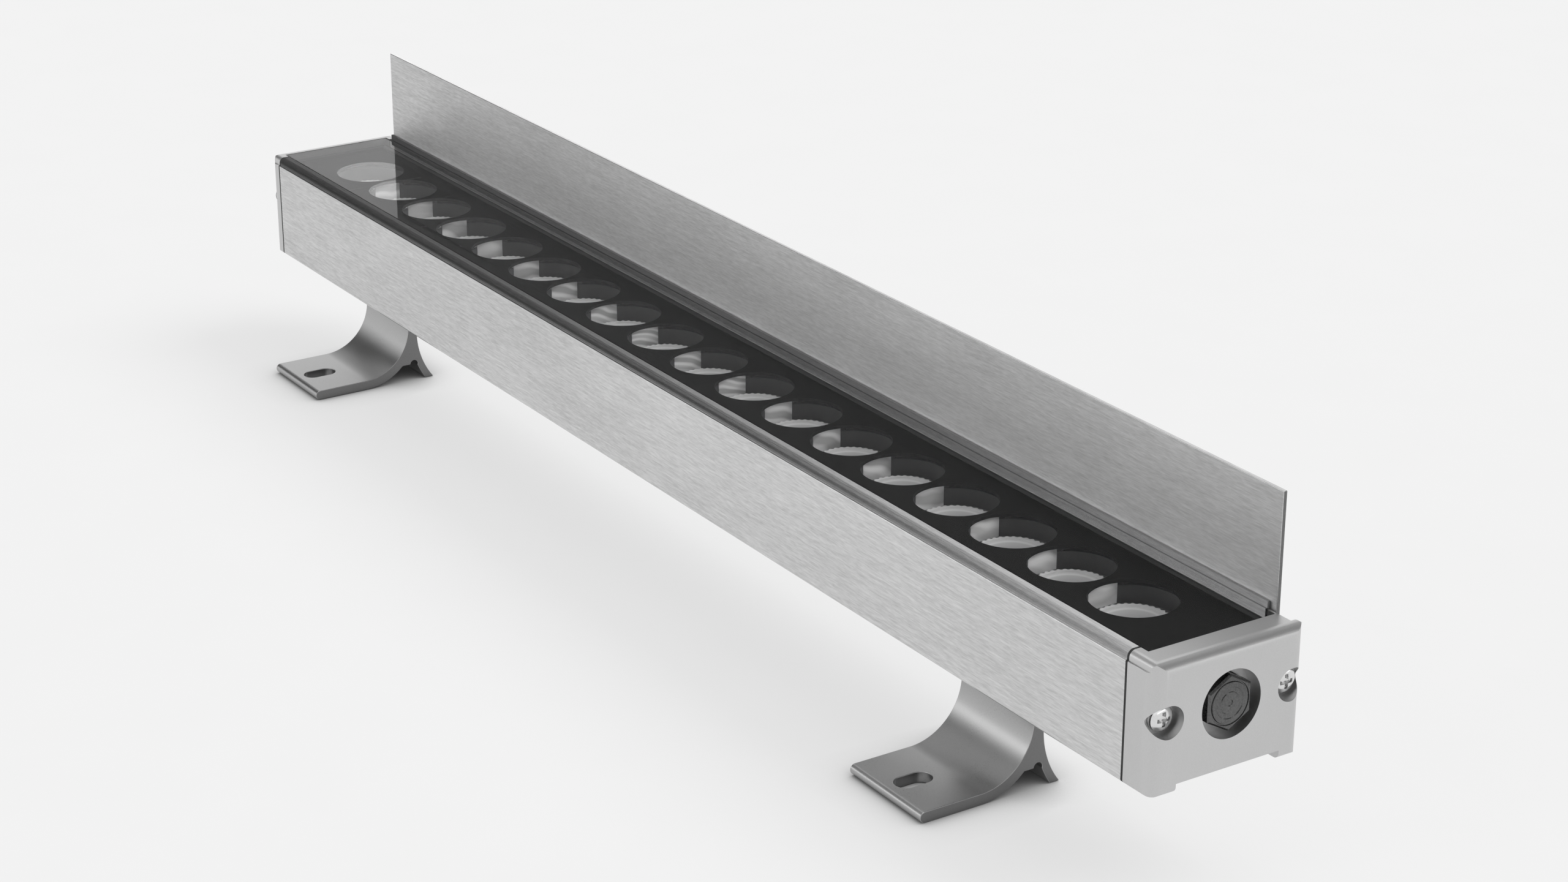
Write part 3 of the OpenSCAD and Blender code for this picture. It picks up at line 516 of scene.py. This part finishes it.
# from the CAD box's end to the head's underside, and from its side to the screw's axis
HEAD_SEAT = 2.4
HEAD_SIDE = 3.5


def cross_depth(u, v):
    """Depth of the cross recess at a point of the head, in metres."""
    along, across = max(abs(u), abs(v)), min(abs(u), abs(v))
    half = ARM_HALF * MM + FLARE * max(0.0, 1 - along / (FLARE_REACH * MM)) * MM
    inward = max(0.0, 1 - along / (DEPTH_REACH * MM))
    if across < half and along < ARM_REACH * MM:
        return (DEPTH_LEAST + DEPTH_MORE * inward ** 0.5) * MM
    return 0.0


def pan_screw(head_x, y, z, out, reach):
    """out is +1 or -1: the way that the head faces along X; head_x is the head's underside."""
    n = HEAD_STEPS
    radius = HEAD_RADIUS * MM
    verts = []
    for k in range(HEAD_RINGS + 1):
        r = radius * k / HEAD_RINGS
        for j in range(n):
            a = 2 * math.pi * (j + 0.5) / n
            u, v = r * math.cos(a), r * math.sin(a)
            dome = HEAD_HEIGHT * MM - DOME_DROP * MM * (r / radius) ** DOME_POWER
            verts.append((head_x + out * (dome - cross_depth(u, v)), y + u, z + v))
    side = [(HEAD_RADIUS, 0.9), (3.46, 0.25), (3.2, 0.0), (1.7, 0.0)]
    side += [(CREST if k % 2 else ROOT, -THREAD_START - HALF_TURN * k) for k in range(int(reach / HALF_TURN))]
    side += [(TIP_RADIUS, -reach)]
    shank = lathe(side, n, lambda u, v, h: (head_x + out * h, y + u, z + v))
    return join_parts([(verts, quads(HEAD_RINGS + 1, n)), shank])


for node, out, reach in (("cap_screws_right", 1, 19.55), ("cap_screws_left", -1, 17.75)):
    lo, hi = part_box(node)
    under = (hi[0] - HEAD_SEAT * MM) if out > 0 else (lo[0] + HEAD_SEAT * MM)
    zc = (lo[2] + hi[2]) / 2
    both = [pan_screw(under, yc, zc, out, reach) for yc in (lo[1] + HEAD_SIDE * MM, hi[1] - HEAD_SIDE * MM)]
    screws = add_mesh(node + "_fine", *join_parts(both), MATS["stainless_steel"])
    sharpen(screws, degrees=34)
    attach(screws, "light")
    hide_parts(node)


# vent plug: chamfered hexagon with a raised round face, a ring groove and a centre pip
lo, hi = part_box("vent_plug")
plug_y, plug_z, plug_x = (lo[1] + hi[1]) / 2, (lo[2] + hi[2]) / 2, hi[0]
# radius and height of each ring, in millimetres, from the thread's end to the face
PLUG = [(5.85, -8.4), (5.85, -3.6), (7.75, -3.6), (7.75, -0.55), (7.2, -0.05), (6.05, -0.05), (5.95, -0.3),
        (5.7, -0.3), (5.55, 0.0), (4.3, 0.0), (4.15, -0.16), (3.0, -0.16), (2.85, 0.0), (0.9, 0.0),
        (0.8, -0.2), (0.2, -0.2)]
HEX_RINGS = (2, 3, 4)
PLUG_STEPS = 120


def hex_share(k, j):
    """A hexagon's radius at step j as a share of its corners' radius."""
    if k not in HEX_RINGS:
        return 1.0
    a = (2 * math.pi * j / PLUG_STEPS) % (math.pi / 3) - math.pi / 6
    return math.cos(math.pi / 6) / math.cos(a)


turned = lathe(PLUG, PLUG_STEPS, lambda u, v, h: (plug_x + h, plug_y + v, plug_z + u), hex_share)
plug = add_mesh("plug_fine", *turned, MATS["plug_metal"])
sharpen(plug, degrees=24)
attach(plug, "light")
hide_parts("vent_plug")


# ---------------------------------------------------------------- fine rounding of the metal's edges
WELD_GAP = 0.002
FLAT_ANGLE = 0.4
SHARP_ANGLE = 32


def soften(node, width):
    """Welds a CAD mesh, joins its flat faces and bevels the edges that are left; width in millimetres."""
    o = NODES[node]
    o.modifiers.new("weld", "WELD").merge_threshold = WELD_GAP * MM
    flat = o.modifiers.new("planes", "DECIMATE")
    flat.decimate_type = "DISSOLVE"
    flat.angle_limit = math.radians(FLAT_ANGLE)
    edge = o.modifiers.new("edges", "BEVEL")
    edge.width = width * MM
    edge.segments = 2
    edge.limit_method = "ANGLE"
    edge.angle_limit = math.radians(SHARP_ANGLE)
    o.modifiers.new("normals", "WEIGHTED_NORMAL").keep_sharp = False


for name, width in (("housing_profile", 0.15), ("glare_shield", 0.2), ("end_cap_right", 0.3),
                    ("end_cap_left", 0.3), ("foot_left", 0.25), ("foot_right", 0.25),
                    ("carriage_left", 0.2), ("carriage_right", 0.2), ("divider_blades", 0.1),
                    ("gland_nut", 0.2), ("gland_body", 0.2), ("cover_glass", 0.1)):
    soften(name, width)


# ---------------------------------------------------------------- floor, world, lamp
# strengths: the background, the even sky, and what each bright zone adds to it
BACK = 0.88
SKY = 1.02
TOP = 0.7
STRIP = 1.4
GLARE = 0.9
HORIZON = 0.9
# how dark the dark zones are, how much of one is eased, and the share of the light that full dark takes
REAR_LEFT_DARK = 0.1
FRONT_LEFT_EASE = 0.6
REAR_RIGHT_DARK = 0.85
FAR_DARK = 0.88
DARKEST = 0.98
# the floor's own glow and its colour, and the reach and power of the painted contact shadow that fades the glow
# near the object
GLOW = 0.63
WHITE = 0.19
CONTACT_REACH = 0.014
CONTACT_POWER = 1.6
FLOOR_HALF = 9
FLOOR_DROP = 0.0002
floor_mat = Mat("floor")
speck = floor_mat.noise((30, 30, 30))
floor_col = floor_mat.swing(speck, WHITE, 0.002)
floor_shade = floor_mat.new("BsdfDiffuse")
floor_mat.put(floor_col, floor_shade.inputs["Color"])
floor_glow = floor_mat.new("Emission")
# painted contact shadow: the floor's glow fades by ambient occlusion near the object
contact = floor_mat.new("AmbientOcclusion")
contact.inputs["Distance"].default_value = CONTACT_REACH
painted_contact_shadow = floor_mat.math("POWER", contact.outputs["AO"], CONTACT_POWER)
floor_mat.put(floor_mat.math("MULTIPLY", painted_contact_shadow, GLOW), floor_glow.inputs["Strength"])
floor_sum = floor_mat.new("AddShader")
floor_mat.put(floor_shade.outputs[0], floor_sum.inputs[0])
floor_mat.put(floor_glow.outputs[0], floor_sum.inputs[1])
floor_corners = [(x * FLOOR_HALF, y * FLOOR_HALF, 0) for x, y in ((-1, -1), (1, -1), (1, 1), (-1, 1))]
floor = add_mesh("floor", floor_corners, [(0, 1, 2, 3)], floor_mat.done(floor_sum.outputs[0]))
floor.location.z = -FLOOR_DROP
floor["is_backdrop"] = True

world = bpy.data.worlds.new("studio")
bpy.context.scene.world = world
world.use_nodes = True
wt = world.node_tree
wt.nodes.clear()
w_out = wt.nodes.new("ShaderNodeOutputWorld")


def w_node(kind, **props):
    n = wt.nodes.new("ShaderNode" + kind)
    for k, v in props.items():
        setattr(n, k, v)
    return n


def w_math(op, *args):
    n = w_node("Math", operation=op)
    for socket, v in zip(n.inputs, args):
        if isinstance(v, bpy.types.NodeSocket):
            wt.links.new(v, socket)
        else:
            socket.default_value = v
    return n.outputs[0]


def w_not(v):
    return w_math("SUBTRACT", 1.0, v)


def w_times(first, *others):
    """The product of all the values."""
    for v in others:
        first = w_math("MULTIPLY", first, v)
    return first


def w_sum(first, *others):
    for v in others:
        first = w_math("ADD", first, v)
    return first


def w_step(v, lo, hi):
    """0 below lo, 1 above hi, smooth between."""
    n = w_node("MapRange", interpolation_type="SMOOTHSTEP")
    wt.links.new(v, n.inputs["Value"])
    n.inputs["From Min"].default_value = lo
    n.inputs["From Max"].default_value = hi
    return n.outputs["Result"]


def w_band(v, a0, a1, b0, b1):
    """Rises from a0 to a1 and falls from b0 to b1."""
    return w_times(w_step(v, a0, a1), w_not(w_step(v, b0, b1)))


# the studio by direction: dx, dy and dz are the parts of the direction that a ray leaves in;
# left is towards -X, front is towards -Y, and far is the narrow zone round -X itself
sky = w_node("SeparateXYZ")
wt.links.new(w_node("TexCoord").outputs["Generated"], sky.inputs[0])
dx, dy, dz = sky.outputs
left = w_not(w_step(dx, -0.35, -0.15))
behind = w_step(dy, -0.02, 0.02)
front = w_not(behind)
near = w_step(dx, -0.88, -0.76)
far = w_not(near)

# dark zones
rear_left = w_times(left, behind, w_band(dz, 0.325, 0.345, 0.51, 0.56), REAR_LEFT_DARK)
front_left = w_times(left, front, w_band(dz, 0.36, 0.46, 0.75, 0.88),
                     w_not(w_times(w_step(dx, -0.78, -0.66), FRONT_LEFT_EASE)))
rear_right = w_times(w_step(dx, -0.4, -0.2), w_step(dy, 0.3, 0.45), w_band(dz, 0.26, 0.36, 0.84, 0.92),
                     REAR_RIGHT_DARK)
front_right = w_times(front, w_band(dx, 0.2, 0.35, 0.7, 0.85), w_band(dz, 0.12, 0.18, 0.8, 0.92))
far_front = w_times(front, far, w_step(dz, 0.0, 0.1), FAR_DARK)
far_rear = w_times(behind, w_not(w_step(dx, -0.86, -0.7)), w_band(dz, 0.36, 0.41, 0.8, 0.9), FAR_DARK)
dark = w_math("MINIMUM", w_sum(rear_left, front_left, rear_right, front_right, far_front, far_rear), 1.0)

# bright zones
top = w_times(w_step(dz, 0.84, 0.96), TOP)
far_glare = w_times(behind, far, w_band(dz, 0.18, 0.22, 0.31, 0.34), GLARE)
rear_strip = w_times(behind, w_step(dx, -0.25, -0.05), w_band(dz, -0.02, 0.04, 0.2, 0.26), STRIP)
front_horizon = w_times(front, left, near, w_band(dz, 0.02, 0.1, 0.3, 0.36), HORIZON)
level = w_times(w_sum(SKY, top, far_glare, rear_strip, front_horizon), w_not(w_times(dark, DARKEST)))

# low down, the camera, metal and glass all show the same pale background
ray = w_node("LightPath")
looks = w_math("MINIMUM", w_sum(ray.outputs["Is Camera Ray"], ray.outputs["Is Glossy Ray"],
                                ray.outputs["Is Transmission Ray"]), 1.0)
low = w_not(w_step(dz, 0.12, 0.16))
seen = w_node("Mix", data_type="FLOAT")
wt.links.new(w_times(looks, low), seen.inputs[MIX_SHARE])
wt.links.new(level, seen.inputs[MIX_FLOAT_A])
seen.inputs[MIX_FLOAT_B].default_value = BACK
w_bg = w_node("Background")
w_bg.inputs["Color"].default_value = (1, 1, 1, 1)
wt.links.new(seen.outputs[0], w_bg.inputs["Strength"])
wt.links.new(w_bg.outputs[0], w_out.inputs["Surface"])


# a broad soft lamp overhead, behind the light and towards its near end
LAMP_DOWN = Vector((-0.6, -0.65, -1.0))
lamp = bpy.data.lights.new("overhead", "SUN")
lamp.energy = 2.2
lamp.angle = math.radians(34)
lamp_o = bpy.data.objects.new("overhead", lamp)
bpy.context.scene.collection.objects.link(lamp_o)
lamp_o.visible_glossy = False
lamp_o.rotation_euler = LAMP_DOWN.to_track_quat("-Z", "Y").to_euler()


# ---------------------------------------------------------------- camera
# what the fit to the photograph gave: the place in the lens row's frame, the angles in degrees, the lens
CAM_AT = Vector((0.7924, -0.4789, 0.4106))
CAM_YAW, CAM_PITCH, CAM_ROLL = 57.03, 21.84, 0.08
CAM_LENS = 74.6
cam_data = bpy.data.cameras.new("camera")
cam = bpy.data.objects.new("camera", cam_data)
bpy.context.scene.collection.objects.link(cam)
bpy.context.scene.camera = cam
cam_data.sensor_width = 36
cam_data.lens = CAM_LENS
cam.location = CAM_AT + SHIFT
cam.rotation_mode = "QUATERNION"
yaw, pitch, roll = (math.radians(a) for a in (CAM_YAW, CAM_PITCH, CAM_ROLL))
forward = Vector((-math.sin(yaw) * math.cos(pitch), math.cos(yaw) * math.cos(pitch), -math.sin(pitch)))
turn = forward.to_track_quat("-Z", "Y")
cam.rotation_quaternion = turn @ Matrix.Rotation(roll, 3, "Z").to_quaternion()
cam_data.clip_start = 0.01
cam_data.clip_end = 50

bpy.context.scene.view_settings.view_transform = "Standard"

lo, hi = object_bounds()
